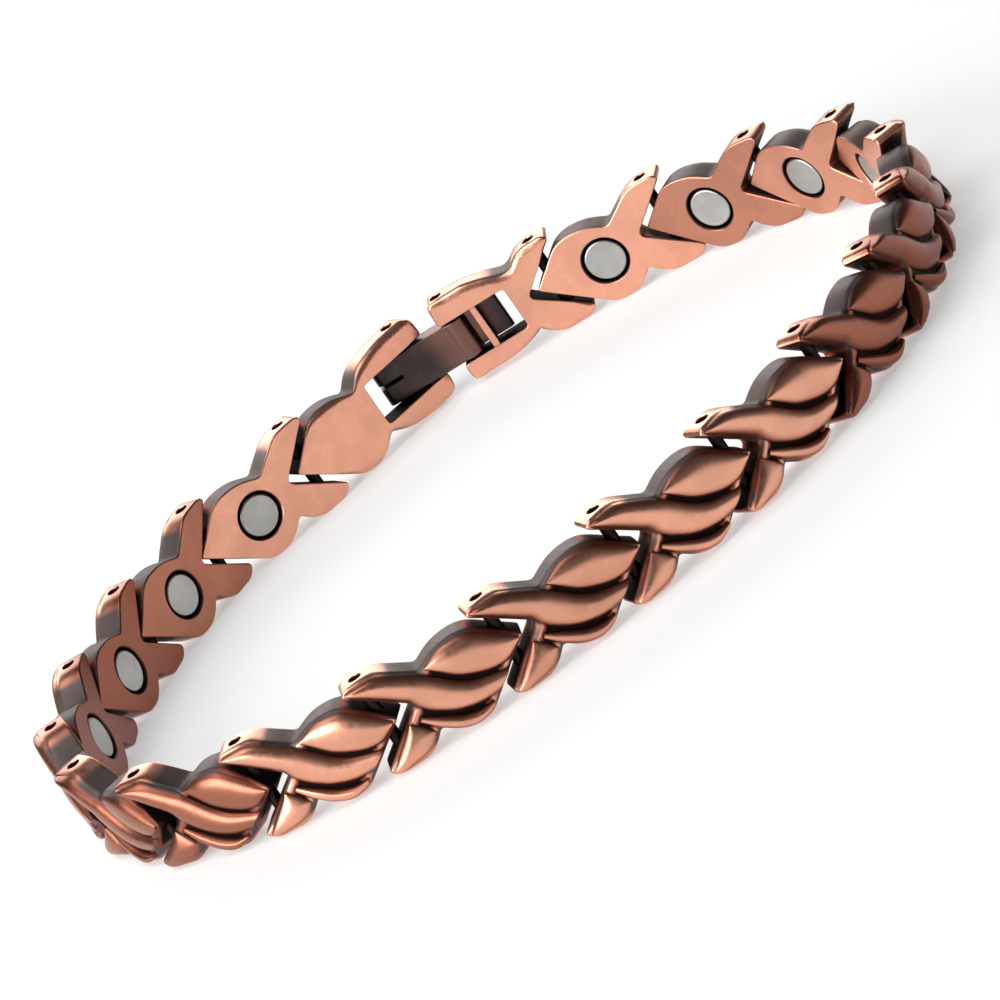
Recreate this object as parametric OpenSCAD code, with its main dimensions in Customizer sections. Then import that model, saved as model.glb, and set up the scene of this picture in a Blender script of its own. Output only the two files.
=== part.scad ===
// Link bracelet of cast copper, closed, standing on its edge
// Frame: X along the loop's long way, Y across it towards the clasp, Z up.
// The origin is the middle of the loop, on the surface that the bracelet stands on.
// Each link has a plan of its own: x from its tail pin to its nose pin, y across
// the band, z outwards from the flat inner face.

/* [Chain] */
// Distance from one hinge pin to the next
pitch = 10; // [9.8:0.1:10.4]
// Width of the band, which is its height as it stands
band_w = 7.5; // [7.4:0.1:7.8]
// Thickness of a link's plate, under the relief
plate_t = 2.35; // [2.2:0.05:2.5]
// Height of the relief's highest crown above the inner face
crown_z = 2.95; // [2.85:0.05:3.1]
// Heading of the first link, counted from +X
first_heading = 200; // [198:1:202]

/* [Hinge pins] */
// Diameter of a pin
pin_d = 0.9; // [0.8:0.05:1]
// Depth of a pin's axis from the inner face
pin_z = 1.1; // [1:0.05:1.15]
// Space between a pin and its hole, all round
pin_gap = 0.05; // [0.04:0.01:0.08]
// How far a pin's ends lie inside the band's edges
pin_inset = 0.06; // [0.04:0.01:0.2]

/* [Magnets] */
// Diameter of a magnet
magnet_d = 3.2; // [3:0.1:3.3]
// Diameter of the pocket round it
pocket_d = 3.7; // [3.6:0.1:3.9]
// Depth of the pocket
pocket_depth = 1; // [0.8:0.1:1.1]
// How far the magnet's face lies inside the inner face
magnet_sink = 0.1; // [0.05:0.05:0.2]
// Place of the magnet's middle in the link's plan
magnet_at = [5.55, -0.35];

/* [Clasp] */
// Distance from the last chain pin to the fork pin that the blade turns on
tail_link_len = 8.3; // [8.2:0.1:8.5]
// Distance between the two fork pins
blade_span = 4.4; // [4.3:0.1:4.5]
// Distance from the fork pin that the blade snaps on to the first chain pin
nose_link_len = 11.8; // [11.7:0.1:12]
// Width of the window between a fork's arms
window_w = 3.6; // [3.5:0.1:3.7]
// Thickness of the clasp's forked links
clasp_t = 2.5; // [2.4:0.05:2.6]
// Width of the blade
blade_w = 3.3; // [3.2:0.1:3.4]
// Thickness of the blade
blade_t = 1.7; // [1.6:0.1:1.8]
// How far the blade reaches past the pin that it snaps on
blade_nose = 3.0; // [2.9:0.1:3.2]
// How far the thumb tab reaches past the pin that the blade turns on
tab_len = 3.8; // [3.7:0.1:4]
// Width of the thumb tab
tab_w = 3.0; // [2.9:0.1:3.1]

/* [Hidden] */
link_count = 19;
fork_arm_past_pin = 1.6;
tail_fork_past_pin = 0.95;
small = 0.01;
// Lower edges of the forks' arms at their pins
nose_fork_low = -3.53;
tail_fork_low = -3.35;

// How far each hinge is bent as the bracelet lies, in degrees, from the pin
// after the first link round to the pin before the last one
hinge_turns = [23, 14, 15, 20, 19, 26, 22, 17, 9, 9, 13, 17, 17, 16, 23, 25, 17, 19];

// Colours of the finishes
copper = [0.80, 0.50, 0.37];
magnet_grey = [0.72, 0.72, 0.70];
pin_brown = [0.36, 0.25, 0.21];
blade_brown = [0.27, 0.21, 0.20];

// Plan of the closed loop
function step(length, heading) = length * [cos(heading), sin(heading)];

headings = [for (i = 0, h = first_heading; i < link_count;
                 h = h + (i < link_count - 1 ? hinge_turns[i] : 0), i = i + 1) h];
chain_pins = [for (i = 0, p = [0, 0]; i <= link_count;
                   p = p + (i < link_count ? step(pitch, headings[i]) : [0, 0]), i = i + 1) p];

// The clasp closes the loop as two bars do that share the snap pin
clasp_gap = chain_pins[0] - chain_pins[link_count];
long_bar = tail_link_len + blade_span;
gap_len = norm(clasp_gap);
bar_angle = acos((long_bar * long_bar + gap_len * gap_len - nose_link_len * nose_link_len)
                 / (2 * long_bar * gap_len));
tail_heading = atan2(clasp_gap[1], clasp_gap[0]) - bar_angle;
turn_pin = chain_pins[link_count] + step(tail_link_len, tail_heading);
snap_pin = turn_pin + step(blade_span, tail_heading);
nose_heading = atan2(chain_pins[0][1] - snap_pin[1], chain_pins[0][0] - snap_pin[0]);

plan_points = concat(chain_pins, [turn_pin, snap_pin]);
plan_x = [for (p = plan_points) p[0]];
plan_y = [for (p = plan_points) p[1]];
plan_middle = [(min(plan_x) + max(plan_x)) / 2, (min(plan_y) + max(plan_y)) / 2];

// Outline of a link, with its edges named as the bracelet stands
half_w = band_w / 2;
foot_y = -half_w;
nose_tip = [11.35, 0.1];
crotch_x = 2.15;
head_edge = [[8.5, 2.45], [7.7, 2.74], [6.7, 2.82], [5.6, 2.68], [4.7, 2.35], [3.9, 1.95]];
lower_head_edge = [[3.0, -2.45], [3.9, -3.2], [4.75, -3.62], [5.6, -3.7], [6.6, -3.56],
                   [7.45, -2.95]];
upper_prong = [[1.5, 3.5], [0.8, half_w - 0.05], [0, half_w], [-0.9, half_w], [-1.35, 3.58],
               [-1.5, 3.3]];
lower_prong = [[-1.7, -2.95], [-1.55, -3.3], [-1.1, -3.6], [-0.6, foot_y], [1, foot_y],
               [2.1, -3.3]];

// Relief, from the link's tail to its nose. Columns: lower edge x and y, upper
// edge x and y, and the crown's share of the relief's full height
main_ribbon = [
    [-1.35, 3.34, -1.1, 3.56, 0.3],
    [-0.85, 2.9, -0.3, 3.62, 0.72],
    [0.1, 2.1, 1.1, 3.5, 0.92],
    [1.15, 1.2, 2.4, 2.82, 1],
    [2.1, 0.25, 3.65, 1.98, 1],
    [3.05, -0.92, 4.7, 1.02, 1],
    [4.5, -1.98, 5.85, -0.08, 0.96],
    [6.2, -2.5, 7.05, -0.78, 0.85],
    [7.75, -2.45, 9.3, -1.36, 0.6]];
leaf = [
    [4.3, 1.82, 4.4, 2.0, 0.2],
    [5.1, 0.97, 5.5, 2.52, 0.6],
    [6.0, 0.1, 6.6, 2.7, 0.9],
    [7.25, -0.56, 8.0, 2.5, 1],
    [8.5, -0.92, 9.25, 1.66, 0.88],
    [9.7, -0.86, 10.3, 0.82, 0.62],
    [10.75, -0.25, 11.0, 0.2, 0.25]];
lower_ribbon = [
    [2.0, -1.2, 2.3, -0.85, 0.25],
    [3.0, -2.32, 3.5, -1.6, 0.72],
    [4.25, -3.22, 4.8, -2.38, 0.92],
    [5.6, -3.58, 6.05, -2.74, 0.92],
    [7.0, -3.12, 7.05, -2.73, 0.5]];
prong_leaf = [
    [1.2, -0.9, 1.5, -0.95, 0.2],
    [0.45, -1.55, 2.25, -1.75, 0.55],
    [-0.35, -2.2, 2.6, -2.5, 0.75],
    [-0.95, -2.75, 1.7, -3.25, 0.7],
    [-1.4, -3.2, -0.2, -3.58, 0.3]];

// A raised stroke through the rows of a relief table, with a round back
relief_root = plate_t - 0.35;
relief_h = crown_z - plate_t;
stroke_shape = [[0, -1], [0.07, 0.35], [0.24, 0.82], [0.5, 1], [0.76, 0.82], [0.93, 0.35],
                [1, -1]];
function stroke_point(row, s) =
    let (low = [row[0], row[1]], up = [row[2], row[3]], at = low + (up - low) * s[0])
    [at[0], at[1], s[1] < 0 ? relief_root : plate_t + relief_h * row[4] * s[1]];

module stroke(rows)
{
    n = len(stroke_shape);
    points = [for (row = rows) for (s = stroke_shape) stroke_point(row, s)];
    last = n * (len(rows) - 1);
    sides = [for (r = [0:len(rows) - 2]) for (k = [0:n - 1])
             let (a = r * n + k, b = r * n + (k + 1) % n)
             each [[a, b, b + n], [a, b + n, a + n]]];
    ends = [[for (k = [n - 1:-1:0]) k], [for (k = [0:n - 1]) last + k]];
    polyhedron(points = points, faces = concat(sides, ends));
}

// Hole along the band for a pin
module pin_hole()
{
    translate([0, band_w, pin_z]) rotate([90, 0, 0])
        cylinder(d = pin_d + 2 * pin_gap, h = 2 * band_w, $fn = 48);
}

module pin_rod(foot = foot_y)
{
    translate([0, half_w - pin_inset, pin_z]) rotate([90, 0, 0])
        cylinder(d = pin_d, h = half_w - foot - 2 * pin_inset, $fn = 48);
}

// Puts a piece that is drawn in a link's plan where the link lies in the loop
module place(at, heading)
{
    spot = at - plan_middle;
    translate([spot[0], spot[1], half_w]) rotate([90, 0, heading])
        translate([0, 0, -pin_z]) children();
}

// Flat outline of the fish-shaped plate
module link_outline()
{
    polygon(concat([nose_tip], head_edge, upper_prong, [[crotch_x, 0.25], [crotch_x, -0.05]],
                   lower_prong, lower_head_edge));
}

// One cast link, with the magnet's pocket in the inner face
module link()
{
    color(copper) difference()
    {
        union()
        {
            linear_extrude(plate_t) link_outline();
            stroke(main_ribbon);
            stroke(leaf);
            stroke(lower_ribbon);
            stroke(prong_leaf);
        }
        pin_hole();
        translate([pitch, 0, 0]) pin_hole();
        translate([magnet_at[0], magnet_at[1], -small])
            cylinder(d = pocket_d, h = pocket_depth + small, $fn = 64);
    }
}

// Round magnet that sits in a link's pocket
module magnet()
{
    color(magnet_grey) translate([magnet_at[0], magnet_at[1], magnet_sink])
        cylinder(d = magnet_d, h = pocket_depth - magnet_sink - pin_gap, $fn = 64);
}

// The clasp's link with a nose, in the first chain link's tail. Its plan starts
// at the pin that the blade snaps on.
fork_root = 4.7;
nose_shift = nose_link_len - pitch;
nose_fork_top = [[4.6, 2.95], [3.2, 3.45], [1.4, half_w], [-0.9, half_w],
                 [-fork_arm_past_pin, 3.2]];
nose_fork_foot = [[-fork_arm_past_pin, -3.1], [-1.1, -3.5], [0, nose_fork_low], [1.2, -3.55],
                  [3.2, -3.25]];

module clasp_nose_link()
{
    color(copper) difference()
    {
        linear_extrude(clasp_t) difference()
        {
            polygon(concat([nose_tip + [nose_shift, 0]],
                           [for (p = head_edge) p + [nose_shift, 0]], nose_fork_top,
                           nose_fork_foot,
                           [for (p = lower_head_edge) p + [nose_shift, 0]]));
            translate([-fork_arm_past_pin - 1, -window_w / 2])
                square([fork_root + fork_arm_past_pin + 1, window_w]);
        }
        pin_hole();
        translate([nose_link_len, 0, 0]) pin_hole();
    }
}

// The clasp's link with a tail, round the last chain link's nose. A bar across
// its window stops the blade. Its plan starts at the last chain pin.
window_root = 3.5;
stop_bar_x = 6.0;
stop_bar_w = 0.6;
stop_bar_z = [0.1, 1.15];
tail_fork_top = [[tail_link_len + tail_fork_past_pin, 3.3],
                 [tail_link_len + 0.7, half_w - 0.05], [6.2, half_w], [4.4, 3.3], [2.7, 2.75]];
tail_fork_foot = [[2.9, -2.6], [4.4, -3.1], [6.2, tail_fork_low],
                  [tail_link_len + 0.6, tail_fork_low],
                  [tail_link_len + tail_fork_past_pin, -3.05]];

module clasp_tail_link()
{
    color(copper) difference()
    {
        union()
        {
            linear_extrude(clasp_t) difference()
            {
                polygon(concat(tail_fork_top, upper_prong,
                               [[crotch_x, 0.25], [crotch_x, -0.05]], lower_prong,
                               tail_fork_foot));
                translate([window_root, -window_w / 2]) square([tail_link_len, window_w]);
            }
            translate([stop_bar_x, -window_w / 2 - 0.2, stop_bar_z[0]])
                cube([stop_bar_w, window_w + 0.4, stop_bar_z[1] - stop_bar_z[0]]);
        }
        pin_hole();
        translate([tail_link_len, 0, 0]) pin_hole();
    }
}

// Blade that turns on the tail link's fork pin and snaps on the nose link's.
// Its plan starts at the pin that it turns on, with x towards the snap pin.
barrel_d = 2.1;
tab_z = [1.3, 2.05];
snap_mouth = pin_d + 0.24;
slit_w = 0.35;

module clasp_blade()
{
    low_z = pin_z - blade_t / 2;
    color(blade_brown) difference()
    {
        union()
        {
            translate([0, -blade_w / 2, low_z])
                cube([blade_span + blade_nose, blade_w, blade_t]);
            translate([0, blade_w / 2, pin_z]) rotate([90, 0, 0])
                cylinder(d = barrel_d, h = blade_w, $fn = 48);
            translate([-tab_len, -tab_w / 2, tab_z[0]])
                cube([tab_len, tab_w, tab_z[1] - tab_z[0]]);
        }
        pin_hole();
        translate([blade_span, 0, 0])
        {
            translate([0, blade_w, pin_z]) rotate([90, 0, 0])
                cylinder(d = snap_mouth, h = 2 * blade_w, $fn = 48);
            translate([-snap_mouth / 2, -blade_w, pin_z])
                cube([snap_mouth, 2 * blade_w, blade_t]);
            translate([0.9, -slit_w / 2, -1]) cube([blade_nose, slit_w, crown_z + 2]);
        }
    }
}

module fork_pin(foot) { color(pin_brown) pin_rod(foot); }

// The pins that join the links, one through each hinge of the chain
module hinge_pins()
{
    color(pin_brown) for (p = chain_pins) place(p, 0) pin_rod();
}

for (i = [0:link_count - 1])
{
    place(chain_pins[i], headings[i]) link();
    place(chain_pins[i], headings[i]) magnet();
}
place(snap_pin, nose_heading) clasp_nose_link();
place(chain_pins[link_count], tail_heading) clasp_tail_link();
place(turn_pin, tail_heading) clasp_blade();
place(snap_pin, nose_heading) fork_pin(nose_fork_low);  // nose_fork_pin
place(turn_pin, tail_heading) fork_pin(tail_fork_low);  // tail_fork_pin
hinge_pins();
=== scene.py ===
"""Looks of a link bracelet of cast copper, modelled round its packed CAD model.

Pieces are modelled in millimetres in a link's own plan: x from the tail pin to the nose pin,
y across the band, z outwards from the flat inner face. set_in_loop then puts them, in metres,
where the CAD model has them.
"""

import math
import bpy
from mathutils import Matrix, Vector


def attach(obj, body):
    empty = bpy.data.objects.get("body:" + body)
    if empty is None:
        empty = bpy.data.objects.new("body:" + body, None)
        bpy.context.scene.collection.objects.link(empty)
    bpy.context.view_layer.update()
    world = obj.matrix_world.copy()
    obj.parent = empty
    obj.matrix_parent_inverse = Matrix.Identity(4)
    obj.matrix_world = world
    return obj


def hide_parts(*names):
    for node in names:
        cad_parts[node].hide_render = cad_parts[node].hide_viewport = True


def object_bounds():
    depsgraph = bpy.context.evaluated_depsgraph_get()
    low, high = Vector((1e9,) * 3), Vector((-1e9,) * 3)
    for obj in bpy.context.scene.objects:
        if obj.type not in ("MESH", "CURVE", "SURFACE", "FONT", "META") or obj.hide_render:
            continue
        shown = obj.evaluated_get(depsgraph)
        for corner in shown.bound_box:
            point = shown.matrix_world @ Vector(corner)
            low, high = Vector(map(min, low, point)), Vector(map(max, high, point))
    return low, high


bl_info = {
    "name": "Copper Link Bracelet",
    "version": (1, 0, 0),
    "blender": (4, 5, 0),
    "location": "View3D > Sidebar > Bracelet",
    "description": "Models a cast copper link bracelet with magnets, pins and a fold-over clasp",
    "category": "Add Mesh",
}

from collections import namedtuple
from contextlib import contextmanager
from types import SimpleNamespace

import bmesh
import bpy
from bpy.props import FloatProperty, FloatVectorProperty, PointerProperty
from mathutils import Matrix, Vector
from mathutils.bvhtree import BVHTree
from mathutils.geometry import intersect_point_line

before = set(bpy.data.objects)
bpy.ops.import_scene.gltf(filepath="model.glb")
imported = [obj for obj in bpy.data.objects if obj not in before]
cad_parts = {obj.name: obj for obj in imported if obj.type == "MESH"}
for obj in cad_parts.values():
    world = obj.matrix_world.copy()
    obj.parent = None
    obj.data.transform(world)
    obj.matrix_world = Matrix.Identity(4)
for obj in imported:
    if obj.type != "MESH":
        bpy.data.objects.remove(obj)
cad_low, cad_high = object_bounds()

MM = 0.001

# How far each hinge is bent as the bracelet lies, in degrees, from the pin after the
# first link round to the pin before the last one
HINGE_TURNS = [23, 14, 15, 20, 19, 26, 22, 17, 9, 9, 13, 17, 17, 16, 23, 25, 17, 19]

# Stretches of a link's outline, in order round it. A corner is where two of them meet, and a
# straight line joins those that don't
HEAD_TOP = [(11.35, 0.1), (9.9, 1.3), (8.6, 2.37), (7.7, 2.74), (6.7, 2.82), (5.6, 2.68),
            (4.7, 2.35), (3.9, 1.95)]
UPPER_PRONG = [(3.9, 1.95), (2.7, 2.74), (1.5, 3.5), (0.8, 3.7), (0.0, 3.75), (-0.9, 3.75),
               (-1.35, 3.58), (-1.5, 3.3)]
CROTCH = [(2.15, 0.25), (2.15, -0.05)]
LOWER_PRONG = [(-1.7, -2.95), (-1.55, -3.3), (-1.1, -3.6), (-0.6, -3.75), (1.0, -3.75),
               (2.1, -3.3), (3.0, -2.45)]
HEAD_FOOT = [(3.0, -2.45), (3.9, -3.2), (4.75, -3.62), (5.6, -3.7), (6.6, -3.56), (7.45, -2.95),
             (9.4, -1.43), (11.35, 0.1)]

# Relief, from a link's tail to its nose: a stroke's lower edge, its upper edge, and its
# crown's share of the relief's full height
Row = namedtuple("Row", "low_x low_y up_x up_y share")
MAIN_RIBBON = [
    Row(-1.35, 3.34, -1.1, 3.56, 0.3),
    Row(-0.85, 2.9, -0.3, 3.62, 0.72),
    Row(0.1, 2.1, 1.1, 3.5, 0.92),
    Row(1.15, 1.2, 2.4, 2.82, 1.0),
    Row(2.1, 0.25, 3.65, 1.98, 1.0),
    Row(3.05, -0.92, 4.7, 1.02, 1.0),
    Row(4.5, -1.98, 5.85, -0.08, 0.96),
    Row(6.2, -2.5, 7.05, -0.78, 0.85),
    Row(7.75, -2.45, 9.3, -1.36, 0.6),
]
LEAF = [
    Row(4.3, 1.82, 4.4, 2.0, 0.2),
    Row(5.1, 0.97, 5.5, 2.52, 0.6),
    Row(6.0, 0.1, 6.6, 2.7, 0.9),
    Row(7.25, -0.56, 8.0, 2.5, 1.0),
    Row(8.5, -0.92, 9.25, 1.66, 0.88),
    Row(9.7, -0.86, 10.3, 0.82, 0.62),
    Row(10.75, -0.25, 11.0, 0.2, 0.25),
]
LOWER_RIBBON = [
    Row(2.0, -1.2, 2.3, -0.85, 0.25),
    Row(3.0, -2.32, 3.5, -1.6, 0.72),
    Row(4.25, -3.22, 4.8, -2.38, 0.92),
    Row(5.6, -3.58, 6.05, -2.74, 0.92),
    Row(7.0, -3.12, 7.05, -2.73, 0.5),
]
PRONG_LEAF = [
    Row(1.2, -0.9, 1.5, -0.95, 0.2),
    Row(0.45, -1.55, 2.25, -1.75, 0.55),
    Row(-0.35, -2.2, 2.6, -2.5, 0.75),
    Row(-0.95, -2.75, 1.7, -3.25, 0.7),
    Row(-1.4, -3.2, -0.2, -3.58, 0.3),
]

# The clasp's forks: the lower edges of their arms at the pins, their outlines, the roots of
# their windows, and two corners of the bar across the tail link's window
NOSE_FORK_LOW = -3.53
TAIL_FORK_LOW = -3.35
NOSE_FORK_TOP = [(5.7, 1.95), (4.6, 2.95), (3.2, 3.45), (1.4, 3.75), (0.2, 3.75), (-0.9, 3.75),
                 (-1.6, 3.2)]
NOSE_FORK_FOOT = [(-1.6, -3.1), (-1.1, -3.5), (0.0, NOSE_FORK_LOW), (1.2, -3.55), (3.2, -3.25),
                  (4.8, -2.45)]
TAIL_FORK_TOP = [(9.25, 3.3), (9.0, 3.7), (7.6, 3.75), (6.2, 3.75), (4.4, 3.3), (2.7, 2.75),
                 (1.5, 3.5)]
TAIL_FORK_FOOT = [(3.0, -2.45), (2.9, -2.6), (4.4, -3.1), (6.2, TAIL_FORK_LOW),
                  (7.6, TAIL_FORK_LOW), (8.9, TAIL_FORK_LOW), (9.25, -3.05)]
NOSE_FORK_ROOT = 4.7
TAIL_FORK_ROOT = 3.5
STOP_BAR = ((6.0, -2.0, 0.1), (6.6, 2.0, 1.15))

# Steps of a curve from one of its points to the next, and of a straight line
CURVE_STEPS = 12
STRAIGHT_STEPS = 40

# How much broader than the brow the round is on the upper prong's top, as a share of it
PRONG_BROW = 0.6

# How far a stroke's sides are sunk in the plate, and widths of the small rounds of the forks'
# arms, the pins' ends, the magnets, the blade and the stop bar
STROKE_ROOT = 0.12
ARM_ROUND = 0.1
PIN_ROUND = 0.14
MAGNET_ROUND = 0.12
BLADE_ROUND = 0.1
STOP_BAR_ROUND = 0.12

# Flares of the pins' holes and of the magnets' pockets
BORE_FLARE = 0.05
POCKET_FLARE = 0.08

# The blade: its snap groove's clearance, its slit, which begins past the snap pin and has a
# roof, its tab's lower and upper side, and the grooves between the tab's ridges, whose places
# are counted from the tab's end
SNAP_GAP = 0.12
SLIT_ROOT = 0.9
SLIT_WIDTH = 0.35
SLIT_ROOF = 0.3
TAB_LOW = 1.3
TAB_HIGH = 2.05
RIDGE_GROOVES = (0.55, 1.05, 1.55)
GROOVE_WIDTH = 0.18
GROOVE_DEPTH = 0.12

# Least darkening of the ground between the strokes, where dirt stays, and of the steep walls
# beside the clasp's windows, and how far inside the outline the ground's darkening begins and is
# full
GROUND_DIRT = 0.82
WINDOW_DARKENING = 0.85
GROUND_MARGINS = (0.45, 0.8)

# How far round a point the meshes are sought that hem it in, for the black of its hollows and
# for the shade painted where neighbouring parts close in, and the rays that look there
HOLLOW_AND_SHADE_REACH = 2.0
HOLLOW_AND_SHADE_RAYS = 40

# Widths along the band's edges that rub bright, and where the grey painted on the side walls as
# reflection fades out
RUB_WIDTH = 0.45
WALL_REFLECTION_FADE = 1.3
EDGE_FACE = 0.1

# How bright the duller clouds on the crowns are, how far rubbing keeps away the black of the
# hollows and of the painted shade, how far the grey painted as reflection covers the side walls,
# how far brown painted as shade covers the slopes of the relief, and how much rougher the walls
# are than the crowns
FADED_CROWNS = 0.86
RUB_CLEARS = 0.85
WALL_REFLECTION_COVER = 0.92
FLANK_SHADE_COVER = 0.7
WALL_ROUGHNESS = 0.25

# Links that are painted browner than the rest as shade on their outer and on their inner side,
# where those faces catch less light, by number, and how far the brown covers them
OUTER_SHADE = {5: 0.5, 6: 0.8, 7: 0.8, 8: 0.1, 9: 0.1, 10: 0.2, 13: 0.85, 14: 1.0, 15: 1.0, 16: 0.3}
INNER_SHADE = {2: 0.7, 3: 0.9, 4: 1.0, 5: 0.7, 17: 0.25, 18: 0.55}


def length(name, description, millimetres):
    """A length that the user may change, with its default given in millimetres"""
    return FloatProperty(name=name, description=description, default=millimetres * MM,
                         min=0, precision=5, unit="LENGTH")


def angle(name, description, degrees):
    """An angle that the user may change, with its default given in degrees"""
    return FloatProperty(name=name, description=description, default=math.radians(degrees),
                         unit="ROTATION")


def colour(name, description, red, green, blue):
    """A colour that the user may change"""
    return FloatVectorProperty(name=name, description=description, subtype="COLOR", size=3,
                               min=0, max=1, default=(red, green, blue))


def share(name, description, value):
    """A value from 0 to 1 that the user may change"""
    return FloatProperty(name=name, description=description, default=value, min=0, max=1,
                         subtype="FACTOR")


class ChainSettings(bpy.types.PropertyGroup):
    """Sizes of the links and of the pins between them"""

    pitch: length("Pitch", "Distance from one hinge pin to the next", 10)
    band_width: length("Band Width", "Width of the band, which is its height as it stands",
                       (cad_high.z - cad_low.z) / MM)
    plate: length("Plate", "Thickness of a link's plate, under the relief", 2.35)
    crown: length("Crown", "Height of the highest relief above the inner face", 2.95)
    rim: length("Rim", "Width of the worn round along a plate's inner edges", 0.14)
    brow: length("Brow", "Width of the broad round along a plate's outer edges", 0.5)
    pin: length("Pin", "Diameter of a pin", 0.9)
    pin_depth: length("Pin Depth", "Depth of a pin's axis from the inner face", 1.1)
    pin_gap: length("Pin Gap", "Space between a pin and its hole, all round", 0.05)
    pin_inset: length("Pin Inset", "How far a pin's ends lie inside the band's edges", 0.06)
    first_heading: angle("First Heading", "Heading of the first link, counted from X", 200)


class MagnetSettings(bpy.types.PropertyGroup):
    """Sizes of the magnets and of the pockets round them"""

    diameter: length("Diameter", "Diameter of a magnet", 3.2)
    pocket: length("Pocket", "Diameter of the pocket round a magnet", 3.7)
    pocket_depth: length("Pocket Depth", "Depth of the pocket", 1.0)
    sink: length("Sink", "How far a magnet's face lies inside the inner face", 0.1)
    along: length("Along", "Place of the magnet's middle from the tail pin", 5.55)
    below: length("Below", "Place of the magnet's middle under the band's middle", 0.35)


class ClaspSettings(bpy.types.PropertyGroup):
    """Sizes of the clasp's links and its blade"""

    tail_link: length("Tail Link", "From the last chain pin to the pin the blade turns on", 8.3)
    nose_link: length("Nose Link", "From the pin the blade snaps on to the first chain pin", 11.8)
    blade_span: length("Blade Span", "Distance between the two fork pins", 4.4)
    plate: length("Plate", "Thickness of the clasp's links", 2.5)
    rim: length("Rim", "Width of the round along the inner edges of the fork's arms", 0.45)
    window: length("Window", "Width of the window between a fork's arms", 3.6)
    blade_width: length("Blade Width", "Width of the blade", 3.3)
    blade: length("Blade", "Thickness of the blade", 1.7)
    blade_nose: length("Blade Nose", "How far the blade reaches past the snap pin", 3.0)
    barrel: length("Barrel", "Diameter of the blade's barrel", 2.1)
    tab: length("Tab", "How far the thumb tab reaches past the turning pin", 3.8)
    tab_width: length("Tab Width", "Width of the thumb tab", 3.0)


class FinishSettings(bpy.types.PropertyGroup):
    """Colours of the finishes, and of the shade and reflection painted on them"""

    copper: colour("Copper", "Polished copper on the crowns", 0.87, 0.42, 0.285)
    # Brown of the antique finish in the hollows, also painted as shade on the slopes of the relief
    # and on whole links
    tarnish: colour("Tarnish", "Brown of half worn patina", 0.25, 0.075, 0.043)
    # Black of the hollows, also painted as shade where neighbouring parts close in
    oxide: colour("Oxide", "Black left in the grooves", 0.012, 0.009, 0.008)
    # Grey painted as reflection on the side walls and outer rounds
    wall_reflection: colour("Wall", "Grey of the links' side walls and outer rounds", 0.075, 0.075, 0.076)
    nickel: colour("Nickel", "Plating of the magnets", 0.46, 0.46, 0.435)
    # Dark metal of the blade's ends; at the free end its black is painted shade, where the blade
    # lies deep in the window
    gunmetal: colour("Gunmetal", "Black of the blade's free end", 0.05, 0.042, 0.042)
    bronze: colour("Bronze", "Red brown of the blade near the pin it turns on", 0.2, 0.105, 0.085)
    steel: colour("Pin Steel", "Dull metal of the pins", 0.035, 0.024, 0.02)
    polish: share("Polish", "Roughness of the crowns", 0.27)


class StageSettings(bpy.types.PropertyGroup):
    """Floor, lights and camera"""

    floor: colour("Floor", "Colour of the floor", 0.6, 0.6, 0.597)
    glow: share("Glow", "Light that comes up through the floor", 0.42)
    distance: length("Distance", "From the camera to the bracelet's middle", 606.5)
    focal: length("Focal Length", "Focal length of the camera's lens", 303.6)
    elevation: angle("Elevation", "How far the camera looks down", 18.5)
    roll: angle("Roll", "How far the camera is turned about its line of sight", 35.06)
    aim_left: length("Aim Left", "How far the camera aims left of the bracelet's middle", 1.009)
    aim_low: length("Aim Low", "How far the camera aims under the bracelet's middle", 2.018)


def in_mm(group):
    """A group of settings as plain values, with its lengths in millimetres"""
    kinds = group.bl_rna.properties
    return SimpleNamespace(**{
        name: getattr(group, name) / (MM if kinds[name].unit == "LENGTH" else 1)
        for name in group.__annotations__})


# Selecting and editing


def make_active(piece):
    """Selects one object alone"""
    bpy.ops.object.select_all(action="DESELECT")
    piece.select_set(True)
    bpy.context.view_layer.objects.active = piece


def apply_place(piece):
    """Moves an object's place, turn and scale into its mesh"""
    make_active(piece)
    bpy.ops.object.transform_apply(location=True, rotation=True, scale=True)


@contextmanager
def editing(piece, mode="FACE", action="DESELECT"):
    """Edit mode on one object with nothing or all of it selected, giving its editable mesh"""
    make_active(piece)
    bpy.ops.object.mode_set(mode="EDIT")
    bpy.ops.mesh.select_mode(type=mode)
    bpy.ops.mesh.select_all(action=action)
    yield bmesh.from_edit_mesh(piece.data)
    bpy.ops.object.mode_set(mode="OBJECT")


def add_modifier(piece, kind, **values):
    """Adds a modifier with these values and applies it"""
    make_active(piece)
    modifier = piece.modifiers.new(kind.title(), kind)
    for name, value in values.items():
        setattr(modifier, name, value)
    bpy.ops.object.modifier_apply(modifier=modifier.name)


def combine(piece, others, operation):
    """Joins to a piece, or cuts from it, each of the others, which are used up"""
    for other in others:
        add_modifier(piece, "BOOLEAN", operation=operation, object=other, solver="EXACT")
        bpy.data.objects.remove(other)


# Lines and outlines


def spline(points, at):
    """Value on a smooth curve through tuples of numbers, at 0 for the first and 1 for the next"""
    last = len(points) - 1
    start = min(int(at), last - 1)
    t = at - start
    before, a, b, after = (points[max(0, min(last, start + k))] for k in (-1, 0, 1, 2))
    return [
        a[k] + 0.5 * t * (b[k] - before[k]
                          + t * (2 * before[k] - 5 * a[k] + 4 * b[k] - after[k]
                                 + t * (3 * (a[k] - b[k]) + after[k] - before[k])))
        for k in range(len(a))
    ]


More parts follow.
